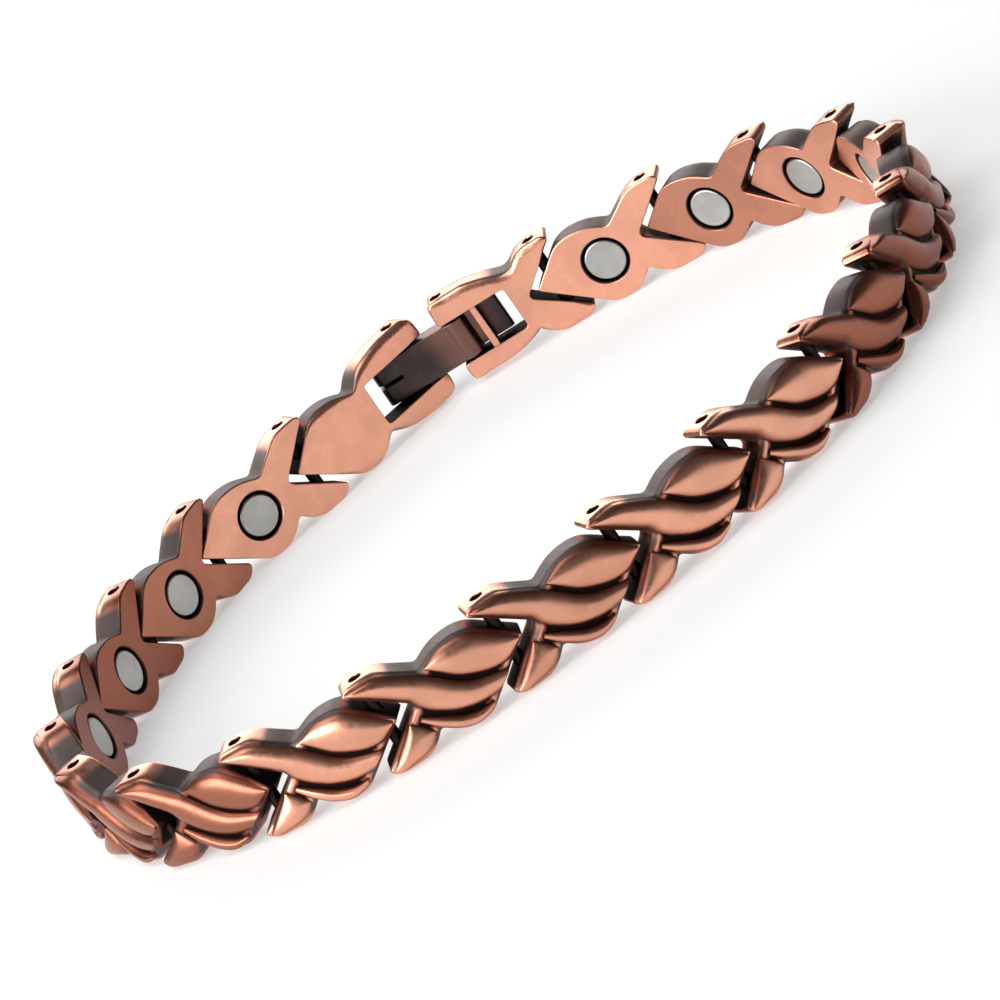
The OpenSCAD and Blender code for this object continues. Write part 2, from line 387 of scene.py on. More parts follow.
def smooth_outline(stretches, spacing=0.2, passes=2):
    """Closed outline of even spacing through stretches of points, which are curves where they
    have three points or more, its corners worn round"""
    half_width = in_mm(bpy.context.scene.bracelet_chain).band_width / 2
    dense = []
    for points, following in zip(stretches, stretches[1:] + stretches[:1]):
        if len(points) > 2:
            steps = CURVE_STEPS * (len(points) - 1)
            dense += [Vector(spline(points, k / CURVE_STEPS)) for k in range(steps)]
            points = points[-1:]
        corners = [Vector(point) for point in (*points, following[0])]
        for a, b in zip(corners, corners[1:]):
            if (b - a).length > 0.001:
                dense += [a.lerp(b, k / STRAIGHT_STEPS) for k in range(STRAIGHT_STEPS)]
    around = dense + dense[:1]
    lengths = [0.0]
    for a, b in zip(around, around[1:]):
        lengths.append(lengths[-1] + (b - a).length)
    count = round(lengths[-1] / spacing)
    even, k = [], 0
    for number in range(count):
        wanted = lengths[-1] * number / count
        while lengths[k + 1] < wanted:
            k += 1
        part = (wanted - lengths[k]) / (lengths[k + 1] - lengths[k])
        even.append(around[k].lerp(around[k + 1], part))
    for _ in range(passes):
        even = [(even[k - 1] + 2 * even[k] + even[(k + 1) % count]) / 4 for k in range(count)]
    return [Vector((p.x, max(-half_width, min(half_width, p.y)))) for p in even]


def arc(centre, radius, start, end, steps=16):
    """Points on an arc, between two angles in degrees"""
    turn = [math.radians(start + (end - start) * k / steps) for k in range(steps + 1)]
    return [(centre[0] + radius * math.cos(a), centre[1] + radius * math.sin(a)) for a in turn]


def shifted(points, x):
    """The same points, moved along x"""
    return [(p[0] + x, p[1]) for p in points]


Loop = namedtuple("Loop", "pins headings turn_pin snap_pin tail_heading nose_heading middle")


def loop_plan():
    """Pins and headings of the closed loop in millimetres and radians, as in the CAD model"""
    scene = bpy.context.scene
    chain, clasp = in_mm(scene.bracelet_chain), in_mm(scene.bracelet_clasp)

    def step(reach, heading):
        return reach * Vector((math.cos(heading), math.sin(heading)))

    headings = [chain.first_heading]
    for turn in HINGE_TURNS:
        headings.append(headings[-1] + math.radians(turn))
    pins = [Vector((0, 0))]
    for heading in headings:
        pins.append(pins[-1] + step(chain.pitch, heading))

    # The clasp closes the loop as two bars do that share the snap pin
    gap = pins[0] - pins[-1]
    bar = clasp.tail_link + clasp.blade_span
    short = clasp.nose_link
    bend = math.acos((bar**2 + gap.length**2 - short**2) / (2 * bar * gap.length))
    tail_heading = math.atan2(gap.y, gap.x) - bend
    turn_pin = pins[-1] + step(clasp.tail_link, tail_heading)
    snap_pin = turn_pin + step(clasp.blade_span, tail_heading)
    last_bar = pins[0] - snap_pin
    spots = pins + [turn_pin, snap_pin]
    middle = Vector([(min(p[k] for p in spots) + max(p[k] for p in spots)) / 2 for k in (0, 1)])
    return Loop(pins, headings, turn_pin, snap_pin, tail_heading,
                math.atan2(last_bar.y, last_bar.x), middle)


def set_in_loop(piece, at, heading):
    """Puts a piece that was made in a link's plan where it lies in the loop, in metres"""
    chain = bpy.context.scene.bracelet_chain
    spot = (at - loop_plan().middle) * MM
    piece.matrix_world = (
        Matrix.Translation((spot.x, spot.y, chain.band_width / 2))
        @ Matrix.Rotation(heading, 4, "Z")
        @ Matrix.Rotation(math.pi / 2, 4, "X")
        @ Matrix.Translation((0, 0, -chain.pin_depth))
        @ Matrix.Scale(MM, 4)
    )
    apply_place(piece)


# Shapes that several pieces are made of


def outward(piece):
    """Merges doubled points and turns every face outwards"""
    with editing(piece, "VERT", "SELECT"):
        bpy.ops.mesh.remove_doubles(threshold=0.0005)
        bpy.ops.mesh.normals_make_consistent(inside=False)


def inset(outline, widths):
    """Points of an outline, each moved inwards by its own width"""
    moved = []
    for k, point in enumerate(outline):
        along = (outline[(k + 1) % len(outline)] - outline[k - 1]).normalized()
        moved.append(point + widths[k] * Vector((-along.y, along.x)))
    return moved


def round_widths(outline, widest):
    """Width of the round that each point of an outline has room for, at most what the function
    gives there and less at sharp tips"""
    count = len(outline)
    widths = [widest(point) for point in outline]
    # A side of the moved outline keeps this share of its length, or its widths shrink, and a
    # width changes by this much at most from one point to the next
    kept_length, shrink, steepest = 0.25, 0.92, 0.04
    for _ in range(60):
        moved = inset(outline, widths)
        for k in range(count):
            following = (k + 1) % count
            side = outline[following] - outline[k]
            if (moved[following] - moved[k]).dot(side) < kept_length * side.length_squared:
                widths[k] *= shrink
                widths[following] *= shrink
        widths = [min(widths[k], widths[k - 1] + steepest, widths[(k + 1) % count] + steepest)
                  for k in range(count)]
    return widths


def add_plate(outline, thickness, inner_widest, outer_widest, steps=4):
    """Plate with this outline, its inner and outer edges worn round as far as they have room,
    each with a function of the point that gives its widest round"""
    inner, outer = round_widths(outline, inner_widest), round_widths(outline, outer_widest)
    turns = [math.pi / 2 * step / steps for step in range(steps + 1)]
    rings = []
    for a in turns:
        spots = inset(outline, [(1 - math.sin(a)) * width for width in inner])
        rings.append([(*p, (1 - math.cos(a)) * width) for p, width in zip(spots, inner)])
    for a in turns:
        spots = inset(outline, [(1 - math.cos(a)) * width for width in outer])
        rings.append([(*p, thickness - (1 - math.sin(a)) * width)
                      for p, width in zip(spots, outer)])
    bpy.ops.mesh.primitive_circle_add(vertices=len(outline), radius=1, fill_type="NGON")
    piece = bpy.context.object
    for vertex, spot in zip(piece.data.vertices, rings[0]):
        vertex.co = spot
    for before, ring in zip(rings, rings[1:]):
        places = {tuple(round(c, 4) for c in old): new for old, new in zip(before, ring)}
        with editing(piece) as mesh:
            top = max(mesh.faces, key=lambda face: (len(face.verts), face.index))
            top.select_set(True)
            bpy.ops.mesh.extrude_region_move()
            for vertex in bmesh.from_edit_mesh(piece.data).verts:
                if vertex.select:
                    vertex.co = places[tuple(round(c, 4) for c in vertex.co)]
    outward(piece)
    return piece


def outer_round(point):
    """Widest round on the outer edge of a link's plate, broader on the upper prong's top"""
    brow = in_mm(bpy.context.scene.bracelet_chain).brow
    return brow * (1 + PRONG_BROW * ramp(point[1], 3.0, 3.6))


def margin(point, outline):
    """Distance from a point to an outline"""
    return min(
        (point - a.lerp(b, max(0, min(1, intersect_point_line(point, a, b)[1])))).length
        for a, b in zip(outline, outline[1:] + outline[:1]))


def fallen(point, outline):
    """How far a link's plate has fallen by its round at a point, from its flat outer side"""
    width = outer_round(point)
    return width - math.sqrt(max(0, width**2 - max(0, width - margin(point, outline)) ** 2))


def grid_flats(piece, spacing=0.4):
    """Cuts a piece's large faces into a grid, so that the marks that the finishes read, painted
    shade and reflection among them, can change across them
    """
    corners = [Vector(corner) for corner in piece.bound_box]
    for k in (0, 1, 2):
        low, high = min(c[k] for c in corners), max(c[k] for c in corners)
        along = Vector([k == axis for axis in (0, 1, 2)])
        with editing(piece):
            for step in range(1, int((high - low) / spacing) + 1):
                mesh = bmesh.from_edit_mesh(piece.data)
                for face in mesh.faces:
                    lies_so = (abs(face.normal.z) > 0.5) == (k < 2)
                    face.select_set(lies_so and face.calc_area() > spacing**2)
                mesh.select_flush_mode()
                bpy.ops.mesh.bisect(plane_co=along * (low + step * spacing), plane_no=along)


def add_stroke(rows, outline, plate, relief, crown_at, fullness):
    """Raised stroke through the rows of a table, its sides sunk in the plate that has this
    outline. crown_at is how far the crown lies from the lower edge to the upper one, and
    fullness how square its back is"""
    skew = math.log(0.5) / math.log(crown_at)
    spans = len(rows) - 1
    bpy.ops.mesh.primitive_grid_add(x_subdivisions=18, y_subdivisions=9 * spans, size=1)
    piece = bpy.context.object
    depths = {}
    for vertex in piece.data.vertices:
        across, along = vertex.co.x + 0.5, (vertex.co.y + 0.5) * spans
        across = 0.5 - 0.5 * math.cos(math.pi * across)
        row = Row(*spline(rows, along))
        line = round(along, 3)
        if line not in depths:
            depths[line] = [STROKE_ROOT + fallen(Vector(side), outline)
                            for side in (row[:2], row[2:4])]
        edge = abs(2 * across**skew - 1)
        back = (1 - edge**fullness) ** (1 / fullness) if edge < 1 else 0
        sunk = depths[line][across**skew > 0.5]
        spot = Vector((row.low_x, row.low_y)).lerp(Vector((row.up_x, row.up_y)), across)
        vertex.co = (spot.x, spot.y, plate - sunk + (relief * row.share + sunk) * back)
    with editing(piece, action="SELECT"):
        bpy.ops.mesh.extrude_region_move(TRANSFORM_OT_translate={"value": (0, 0, -relief)})
        bpy.ops.transform.resize(value=(1, 1, 0), center_override=(0, 0, 0.5 * plate))
    outward(piece)
    return piece


def add_turned(profile, sides, axis="Z", at=(0, 0, 0)):
    """Solid of revolution through (radius, height) pairs from the bottom up, closed at both ends"""
    bpy.ops.mesh.primitive_circle_add(vertices=sides, radius=profile[0][0], fill_type="NGON")
    piece = bpy.context.object
    with editing(piece, action="SELECT"):
        bpy.ops.transform.translate(value=(0, 0, profile[0][1]))
        for (radius, height), (wider, higher) in zip(profile, profile[1:]):
            bpy.ops.mesh.extrude_region_move(
                TRANSFORM_OT_translate={"value": (0, 0, higher - height)})
            bpy.ops.transform.resize(value=(wider / radius, wider / radius, 1),
                                     center_override=(0, 0, higher))
    outward(piece)
    turned = Matrix.Rotation(-math.pi / 2, 4, "X") if axis == "Y" else Matrix.Identity(4)
    piece.matrix_world = Matrix.Translation(at) @ turned
    apply_place(piece)
    return piece


def add_box(low, high, round_by=0.0):
    """Block between two corners, its edges rounded"""
    bpy.ops.mesh.primitive_cube_add(size=1, location=[(a + b) / 2 for a, b in zip(low, high)],
                                    scale=[b - a for a, b in zip(low, high)])
    piece = bpy.context.object
    apply_place(piece)
    if round_by:
        with editing(piece, "EDGE", "SELECT"):
            bpy.ops.mesh.bevel(offset=round_by, segments=3, profile=0.5, affect="EDGES")
    return piece


def add_pin_bore(x):
    """Cutter for a pin's hole across the band, flared where it comes out"""
    chain = in_mm(bpy.context.scene.bracelet_chain)
    radius, half = chain.pin / 2 + chain.pin_gap, chain.band_width / 2
    profile = [(radius + 2 * BORE_FLARE, -half - BORE_FLARE), (radius, -half + BORE_FLARE),
               (radius, half - BORE_FLARE), (radius + 2 * BORE_FLARE, half + BORE_FLARE)]
    return add_turned(profile, 32, "Y", (x, 0, chain.pin_depth))


def add_pin(foot):
    """Pin with domed ends across a band whose lower edge is given"""
    chain = in_mm(bpy.context.scene.bracelet_chain)
    low, high = foot + chain.pin_inset, chain.band_width / 2 - chain.pin_inset
    dome = [(chain.pin / 2 - PIN_ROUND * (1 - math.cos(a)), PIN_ROUND * (1 - math.sin(a)))
            for a in (0, math.pi / 6, math.pi / 3, math.pi / 2)]
    profile = [(r, low + h) for r, h in reversed(dome)] + [(r, high - h) for r, h in dome]
    pin = add_turned(profile, 32, "Y", (0, 0, chain.pin_depth))
    smooth_faces(pin, 50)
    return pin


def smooth_faces(piece, degrees=38):
    """Smooth shading that keeps creases and flat faces crisp"""
    make_active(piece)
    bpy.ops.object.shade_smooth_by_angle(angle=math.radians(degrees))
    add_modifier(piece, "WEIGHTED_NORMAL", keep_sharp=True, weight=50)


# Marks that the finishes read: wear, dirt, the black of hollows, and painted shade and reflection


def ramp(value, low, high):
    """0 under low, 1 over high and a smooth change between them"""
    t = max(0.0, min(1.0, (value - low) / (high - low)))
    return t * t * (3 - 2 * t)


def mark(piece, name, value_of):
    """Stores one number for each point of a mesh, from a function of its vertex"""
    values = [value_of(vertex) for vertex in piece.data.vertices]
    attributes = piece.data.attributes
    attribute = attributes.get(name) or attributes.new(name, "FLOAT", "POINT")
    attribute.data.foreach_set("value", values)


def spread_directions(count):
    """Directions over a half sphere about z, thickest along z, as light falls on a surface"""
    golden = math.pi * (3 - math.sqrt(5))
    found = []
    for k in range(count):
        height = math.sqrt(1 - (k + 0.5) / count)
        radius = math.sqrt(1 - height * height)
        found.append(Vector((radius * math.cos(golden * k), radius * math.sin(golden * k), height)))
    return found


def mark_hollow_and_shade(piece, around, reach):
    """Marks how closely the meshes around each point hem it in, from 0 in the open to 1,
    where no less is marked before. In a piece's own hollows this is their black; where
    neighbouring parts close in it is painted shade"""
    corners, faces = [], []
    for mesh, matrix in around:
        first = len(corners)
        corners += [matrix @ v.co for v in mesh.vertices]
        faces += [[first + k for k in polygon.vertices] for polygon in mesh.polygons]
    tree = BVHTree.FromPolygons(corners, faces)
    directions = spread_directions(HOLLOW_AND_SHADE_RAYS)
    lift = reach / 80
    least = [item.value for item in piece.data.attributes["shelter"].data]

    def shelter(vertex):
        facing = vertex.normal.to_track_quat("Z", "Y").to_matrix()
        start = vertex.co + vertex.normal * lift
        met = sum(tree.ray_cast(start, facing @ d, reach)[0] is not None for d in directions)
        return max(met / HOLLOW_AND_SHADE_RAYS, least[vertex.index])

    mark(piece, "shelter", shelter)


def mark_walls(piece, plate):
    """Marks the side walls and outer rounds of a piece, where grey is painted as reflection, the
    slopes of its relief, where brown is painted as shade, and how far it rubs bright along the
    band's edges, from 0 to 1. It is done in the link's plan"""
    half = in_mm(bpy.context.scene.bracelet_chain).band_width / 2

    # Grey painted as reflection, on steep faces and most on the outer rounds, fading near the
    # band's edges
    def wall_reflection(vertex):
        height = vertex.co.z
        brow = ramp(height, 0.5 * plate, 0.7 * plate)
        brow *= 1 - ramp(height, plate - 0.05, plate + 0.1)
        steep = min(1, (1 - abs(vertex.normal.z)) * (1 + 2 * brow))
        return steep * (1 - ramp(abs(vertex.co.y), half - WALL_REFLECTION_FADE, half - EDGE_FACE))

    mark(piece, "rub", lambda vertex: ramp(abs(vertex.co.y), half - RUB_WIDTH, half - EDGE_FACE))
    mark(piece, "wall_reflection", wall_reflection)
    # Brown painted as shade on the slopes of the relief, where they turn away from straight out
    mark(piece, "flank_shade", lambda vertex: (
        (1 - ramp(vertex.normal.z, 0.72, 0.97)) * ramp(vertex.co.z, plate, plate + 0.06)))


def mark_link_shade(link, number, plate):
    """Marks how far brown painted as shade covers a link's outer and inner side. It is done in its
    plan
    """
    outer, inner = OUTER_SHADE.get(number, 0), INNER_SHADE.get(number, 0)
    mark(link, "link_shade", lambda vertex: inner + (outer - inner) * ramp(vertex.co.z, 0.1, plate))


# Finishes


def new_group(name, inputs, outputs):
    """Empty shader node group with these sockets, given as (label, type, default), what it is
    given, and its output node"""
    group = bpy.data.node_groups.new(name, "ShaderNodeTree")
    for label, kind, value in inputs:
        socket = group.interface.new_socket(label, in_out="INPUT", socket_type=kind)
        if value is not None:
            socket.default_value = value
    for label, kind in outputs:
        group.interface.new_socket(label, in_out="OUTPUT", socket_type=kind)
    given = group.nodes.new("NodeGroupInput").outputs
    return group, given, group.nodes.new("NodeGroupOutput")


def add_node(tree, kind, settings=None, **sockets):
    """Adds a node, sets its options, and joins or sets its inputs by name, where a double
    underscore stands for a space"""
    node = tree.nodes.new(kind)
    for name, value in (settings or {}).items():
        setattr(node, name, value)
    for name, value in sockets.items():
        join(tree, node, name.replace("__", " "), value)
    return node


def join(tree, node, name, value):
    """Sets a node's input to a value, or joins it to another node's output"""
    socket = node.inputs[int(name[1:])] if name[0] == "_" else node.inputs[name]
    if isinstance(value, bpy.types.NodeSocket):
        tree.links.new(value, socket)
    else:
        socket.default_value = value


def math_node(tree, operation, *values, clamp=False):
    """Output of a math node on these values or sockets"""
    node = tree.nodes.new("ShaderNodeMath")
    node.operation = operation
    node.use_clamp = clamp
    for k, value in enumerate(values):
        join(tree, node, f"_{k}", value)
    return node.outputs[0]


def map_node(tree, value, low, high, to_low=0.0, to_high=1.0):
    """Output of a smooth map from one range to another"""
    node = add_node(tree, "ShaderNodeMapRange", {"interpolation_type": "SMOOTHSTEP"},
                    Value=value, From__Min=low, From__Max=high, To__Min=to_low, To__Max=to_high)
    return node.outputs[0]


def mark_node(tree, name):
    """Output of a node that reads one of the marks stored on a mesh"""
    return add_node(tree, "ShaderNodeAttribute", {"attribute_name": name}).outputs["Fac"]


def mix_colours(tree, factor, a, b):
    """Output of a colour mix"""
    node = tree.nodes.new("ShaderNodeMix")
    node.data_type = "RGBA"
    join(tree, node, "_0", factor)
    join(tree, node, "_6", a)
    join(tree, node, "_7", b)
    return node.outputs[2]


def grain_group():
    """Fine cast grain: uneven tone, and a bump from small pits and polishing marks"""
    group = bpy.data.node_groups.get("Cast Grain")
    if group:
        return group
    group, given, result = new_group(
        "Cast Grain",
        [("Vector", "NodeSocketVector", None), ("Pit Scale", "NodeSocketFloat", 2600.0),
         ("Cloud Scale", "NodeSocketFloat", 320.0), ("Depth", "NodeSocketFloat", 0.06)],
        [("Tone", "NodeSocketFloat"), ("Cloud", "NodeSocketFloat"),
         ("Normal", "NodeSocketVector")])
    pits = add_node(group, "ShaderNodeTexNoise", Vector=given["Vector"],
                    Scale=given["Pit Scale"], Detail=3.0, Roughness=0.6)
    clouds = add_node(group, "ShaderNodeTexNoise", Vector=given["Vector"],
                      Scale=given["Cloud Scale"], Detail=4.0, Roughness=0.55)
    bump = add_node(group, "ShaderNodeBump", Height=pits.outputs["Fac"],
                    Strength=given["Depth"], Distance=0.00002)
    join(group, result, "Tone", map_node(group, pits.outputs["Fac"], 0.3, 0.7))
    join(group, result, "Cloud", map_node(group, clouds.outputs["Fac"], 0.35, 0.65))
    join(group, result, "Normal", bump.outputs["Normal"])
    return group


def patina_and_shade_group():
    """How brown and how black a point is made, from the black of the hollows and the shade painted
    where neighbouring parts close in, uneven like the cast
    """
    group = bpy.data.node_groups.get("Patina_And_Shade")
    if group:
        return group
    group, given, result = new_group(
        "Patina_And_Shade",
        [("Shelter", "NodeSocketFloat", 0.0), ("Cloud", "NodeSocketFloat", 0.5),
         ("Starts", "NodeSocketFloat", 0.1), ("Ends", "NodeSocketFloat", 0.6)],
        [("Brown", "NodeSocketFloat"), ("Black", "NodeSocketFloat")])
    uneven = math_node(group, "MULTIPLY_ADD", given["Cloud"], 0.12, -0.06)
    depth = math_node(group, "ADD", given["Shelter"], uneven)
    middle = math_node(group, "MULTIPLY_ADD", given["Ends"], 0.5,
                       math_node(group, "MULTIPLY", given["Starts"], 0.5))
    join(group, result, "Brown", map_node(group, depth, given["Starts"], middle))
    join(group, result, "Black", map_node(group, depth, middle, given["Ends"]))
    return group


def new_material(name):
    """Material with a Principled shader, and its object coordinates"""
    material = bpy.data.materials.new(name)
    material.use_nodes = True
    tree = material.node_tree
    shader = tree.nodes["Principled BSDF"]
    coordinates = tree.nodes.new("ShaderNodeTexCoord").outputs["Object"]
    return material, tree, shader, coordinates


def use_group(tree, group, **sockets):
    """Places a node group in a material"""
    node = tree.nodes.new("ShaderNodeGroup")
    node.node_tree = group
    for name, value in sockets.items():
        join(tree, node, name.replace("__", " "), value)
    return node.outputs


def rgba(colour_setting):
    """A colour setting with full alpha"""
    return (*colour_setting, 1.0)


def copper_material():
    """Antiqued cast copper: bright crowns, brown painted as shade on the slopes and on some whole
    links, black in the grooves with painted shade where neighbouring parts close in, and grey
    painted as reflection on the side walls
    """
    found = bpy.data.materials.get("antique_copper_and_painted_shade")
    if found:
        return found
    finish = bpy.context.scene.bracelet_finish
    material, tree, shader, place = new_material("antique_copper_and_painted_shade")
    grain = use_group(tree, grain_group(), Vector=place)
    shelter, rub, wall_reflection, flank_shade, link_shade = (
        mark_node(tree, name) for name in ("shelter", "rub", "wall_reflection", "flank_shade", "link_shade"))
    # The black of the hollows and the shade painted where neighbouring parts close in, kept off the
    # rubbed edges
    kept = math_node(tree, "MULTIPLY", shelter,
                     math_node(tree, "MULTIPLY_ADD", rub, -RUB_CLEARS, 1.0))
    patina = use_group(tree, patina_and_shade_group(), Shelter=kept, Cloud=grain["Cloud"],
                       Starts=0.15, Ends=0.78)
    faded = tuple(FADED_CROWNS * c for c in finish.copper)
    bright = mix_colours(tree, grain["Cloud"], rgba(finish.copper), rgba(faded))
    # Brown painted as shade on whole links whose faces catch less light
    link_shaded = mix_colours(tree, link_shade, bright, rgba(finish.tarnish))
    # Grey painted as reflection on the side walls and outer rounds
    wall_reflected = mix_colours(tree, map_node(tree, wall_reflection, 0.05, 0.6, 0.0, WALL_REFLECTION_COVER), link_shaded,
                         rgba(finish.wall_reflection))
    # Brown painted as shade on the slopes of the relief
    flank_shaded = mix_colours(tree, math_node(tree, "MULTIPLY", flank_shade, FLANK_SHADE_COVER), wall_reflected,
                         rgba(finish.tarnish))
    # Brown and black of the hollows, with painted shade where neighbouring parts close in
    browned_and_shaded = mix_colours(tree, patina["Brown"], flank_shaded, rgba(finish.tarnish))
    blackened_and_shaded = mix_colours(tree, patina["Black"], browned_and_shaded, rgba(finish.oxide))
    join(tree, shader, "Base Color", blackened_and_shaded)
    rough = map_node(tree, patina["Black"], 0.0, 1.0, finish.polish, 0.5)
    rougher = math_node(tree, "MULTIPLY_ADD", wall_reflection, WALL_ROUGHNESS, rough)
    uneven = math_node(tree, "MULTIPLY_ADD", grain["Tone"], 0.08, rougher)
    join(tree, shader, "Roughness", uneven)
    join(tree, shader, "Normal", grain["Normal"])
    shader.inputs["Metallic"].default_value = 1.0
    return material


def plain_metal(name, base, worn, roughness, pit_scale, depth, marked_by=None):
    """Metal of one colour with fine grain, and with a second colour in clouds or where it is
    marked"""
    found = bpy.data.materials.get(name)
    if found:
        return found
    material, tree, shader, place = new_material(name)
    grain = use_group(tree, grain_group(), Vector=place, Pit__Scale=pit_scale, Depth=depth)
    change = grain["Cloud"]
    if marked_by:
        uneven = math_node(tree, "MULTIPLY_ADD", grain["Cloud"], 0.3, -0.15)
        change = math_node(tree, "ADD", mark_node(tree, marked_by), uneven, clamp=True)
    join(tree, shader, "Base Color", mix_colours(tree, change, rgba(base), rgba(worn)))
    join(tree, shader, "Roughness",
         math_node(tree, "MULTIPLY_ADD", grain["Tone"], 0.1, roughness))
    join(tree, shader, "Normal", grain["Normal"])
    shader.inputs["Metallic"].default_value = 1.0
    return material


def nickel_material():
    """Dull nickel plating"""
    base = bpy.context.scene.bracelet_finish.nickel
    return plain_metal("magnet_nickel", base, [0.85 * c for c in base], 0.3, 1800.0, 0.1)


def pin_material():
    """Darkened steel"""
    base = bpy.context.scene.bracelet_finish.steel
    material = plain_metal("pin_steel", base, [0.6 * c for c in base], 0.45, 2600.0, 0.15)
    shader = material.node_tree.nodes["Principled BSDF"]
    shader.inputs["Specular Tint"].default_value = (0.3, 0.24, 0.2, 1.0)
    return material


def blade_material():
    """Dark grey metal, bronze near the pin that the blade turns on; the black at its free end is
    painted shade, where the blade lies deep in the window
    """
    finish = bpy.context.scene.bracelet_finish
    return plain_metal("blade_gunmetal_and_shade", finish.gunmetal, finish.bronze, 0.32, 2200.0, 0.12,
                       "bronze_out_of_shade")


def floor_material():
    """Matt milky sheet that is lit from below too"""
    material, tree, shader, place = new_material("floor_sheet")
    base = bpy.context.scene.bracelet_stage.floor
    shader.inputs["Emission Color"].default_value = (1.0, 1.0, 1.0, 1.0)
    shader.inputs["Emission Strength"].default_value = bpy.context.scene.bracelet_stage.glow
    cloud = add_node(tree, "ShaderNodeTexNoise", Vector=place, Scale=9.0, Detail=2.0)
    dim = tuple(0.985 * c for c in base)
    join(tree, shader, "Base Color",
         mix_colours(tree, cloud.outputs["Fac"], rgba(base), rgba(dim)))
    shader.inputs["Roughness"].default_value = 0.8
    shader.inputs["Specular IOR Level"].default_value = 0.2
    return material


def dress(piece, kind, node, material, body="chain"):
    """Names a finished piece, gives it its finish and ties it to the CAD model"""
    piece.name = piece.data.name = f"{kind}_{node}"
    piece.data.materials.clear()
    piece.data.materials.append(material)
    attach(piece, body)
    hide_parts(node)


def copy_of(piece):
    """A copy of an object with its own mesh"""
    make_active(piece)
    bpy.ops.object.duplicate(linked=False)
    return bpy.context.object


# Pieces


def master_link():
    """One cast link in its plan, with relief, magnet pocket and pin holes"""
    scene = bpy.context.scene
    chain, magnets = in_mm(scene.bracelet_chain), in_mm(scene.bracelet_magnets)
    plate, relief = chain.plate, chain.crown - chain.plate
    outline = smooth_outline([HEAD_TOP, UPPER_PRONG, CROTCH, LOWER_PRONG, HEAD_FOOT])
    link = add_plate(outline, plate, lambda point: chain.rim, outer_round)
    combine(link, [
        add_stroke(MAIN_RIBBON, outline, plate, relief, 0.54, 2.0),
        add_stroke(LEAF, outline, plate, relief, 0.5, 2.1),
        add_stroke(LOWER_RIBBON, outline, plate, relief, 0.54, 2.6),
        add_stroke(PRONG_LEAF, outline, plate, relief, 0.45, 2.0)], "UNION")
    pocket = magnets.pocket / 2
    pocket_cutter = add_turned(
        [(pocket + 2 * POCKET_FLARE, -POCKET_FLARE), (pocket, POCKET_FLARE),
         (pocket, magnets.pocket_depth)], 64, "Z", (magnets.along, -magnets.below, 0))
    combine(link, [pocket_cutter, add_pin_bore(0), add_pin_bore(chain.pitch)], "DIFFERENCE")
    outward(link)
    grid_flats(link)
    smooth_faces(link)
    mark_walls(link, plate)

    def ground_dirt(vertex):
        level = 1 - ramp(abs(vertex.co.z - plate), 0.02, 0.1)
        if not level:
            return 0
        return GROUND_DIRT * level * ramp(margin(vertex.co.xy, outline), *GROUND_MARGINS)

    mark(link, "shelter", ground_dirt)
    # The neighbouring links, the magnet and the pins darken the link where they close in: that part
    # is painted shade, the rest is the black of the link's own hollows
    magnet, pin = master_magnet(), add_pin(-chain.band_width / 2)
    around = [(link.data, -chain.pitch), (link.data, 0), (link.data, chain.pitch),
              (magnet.data, 0), (pin.data, 0), (pin.data, chain.pitch)]
    mark_hollow_and_shade(link, [(mesh, Matrix.Translation((x, 0, 0))) for mesh, x in around],
                 HOLLOW_AND_SHADE_REACH)
    for filling in (magnet, pin):
        bpy.data.objects.remove(filling)
    return link


def master_magnet():
    """One round magnet in a link's plan, sunk in its pocket"""
    magnets = in_mm(bpy.context.scene.bracelet_magnets)
    radius, sink, edge = magnets.diameter / 2, magnets.sink, MAGNET_ROUND
    magnet = add_turned(
        [(radius - 2.4 * edge, sink + 0.02), (radius - 2 * edge, sink), (radius - edge, sink),
         (radius - 0.3 * edge, sink + 0.3 * edge), (radius, sink + edge),
         (radius, magnets.pocket_depth - 0.05)],
        64, "Z", (magnets.along, -magnets.below, 0))
    smooth_faces(magnet, 50)
    return magnet


class BRACELET_OT_links(bpy.types.Operator):
    """Model one cast link and set its copies round the loop"""

    bl_idname = "bracelet.links"
    bl_label = "Cast Links"

    def execute(self, context):
        loop = loop_plan()
        master = master_link()
        plate = in_mm(context.scene.bracelet_chain).plate
        for number, (pin, heading) in enumerate(zip(loop.pins, loop.headings), 1):
            link = copy_of(master)
            # Brown painted as shade on this link's outer and inner side, by its number
            mark_link_shade(link, number, plate)
            set_in_loop(link, pin, heading)
            dress(link, "cast", f"link_{number:02d}", copper_material())
        bpy.data.objects.remove(master)
        return {"FINISHED"}


class BRACELET_OT_magnets(bpy.types.Operator):
    """Model one magnet and set its copies in the links' pockets"""

    bl_idname = "bracelet.magnets"
    bl_label = "Magnets"

    def execute(self, context):
        loop = loop_plan()
        master = master_magnet()
        for number, (pin, heading) in enumerate(zip(loop.pins, loop.headings), 1):
            magnet = copy_of(master)
            set_in_loop(magnet, pin, heading)
            dress(magnet, "disc", f"magnet_{number:02d}", nickel_material())
        bpy.data.objects.remove(master)
        return {"FINISHED"}


class BRACELET_OT_pins(bpy.types.Operator):
    """Model the hinge pins and the two fork pins"""

    bl_idname = "bracelet.pins"
    bl_label = "Pins"

    def execute(self, context):
        loop = loop_plan()
        for node, at, heading, foot in (
                ("nose_fork_pin", loop.snap_pin, loop.nose_heading, NOSE_FORK_LOW),
                ("tail_fork_pin", loop.turn_pin, loop.tail_heading, TAIL_FORK_LOW)):
            pin = add_pin(foot)
            set_in_loop(pin, at, heading)
            dress(pin, "domed", node, pin_material())
        master = add_pin(-in_mm(context.scene.bracelet_chain).band_width / 2)
        row = []
        for at in loop.pins:
            row.append(copy_of(master))
            set_in_loop(row[-1], at, 0)
        make_active(row[0])
        for pin in row:
            pin.select_set(True)
        bpy.ops.object.join()
        dress(row[0], "domed", "hinge_pins", pin_material())
        bpy.data.objects.remove(master)
        return {"FINISHED"}


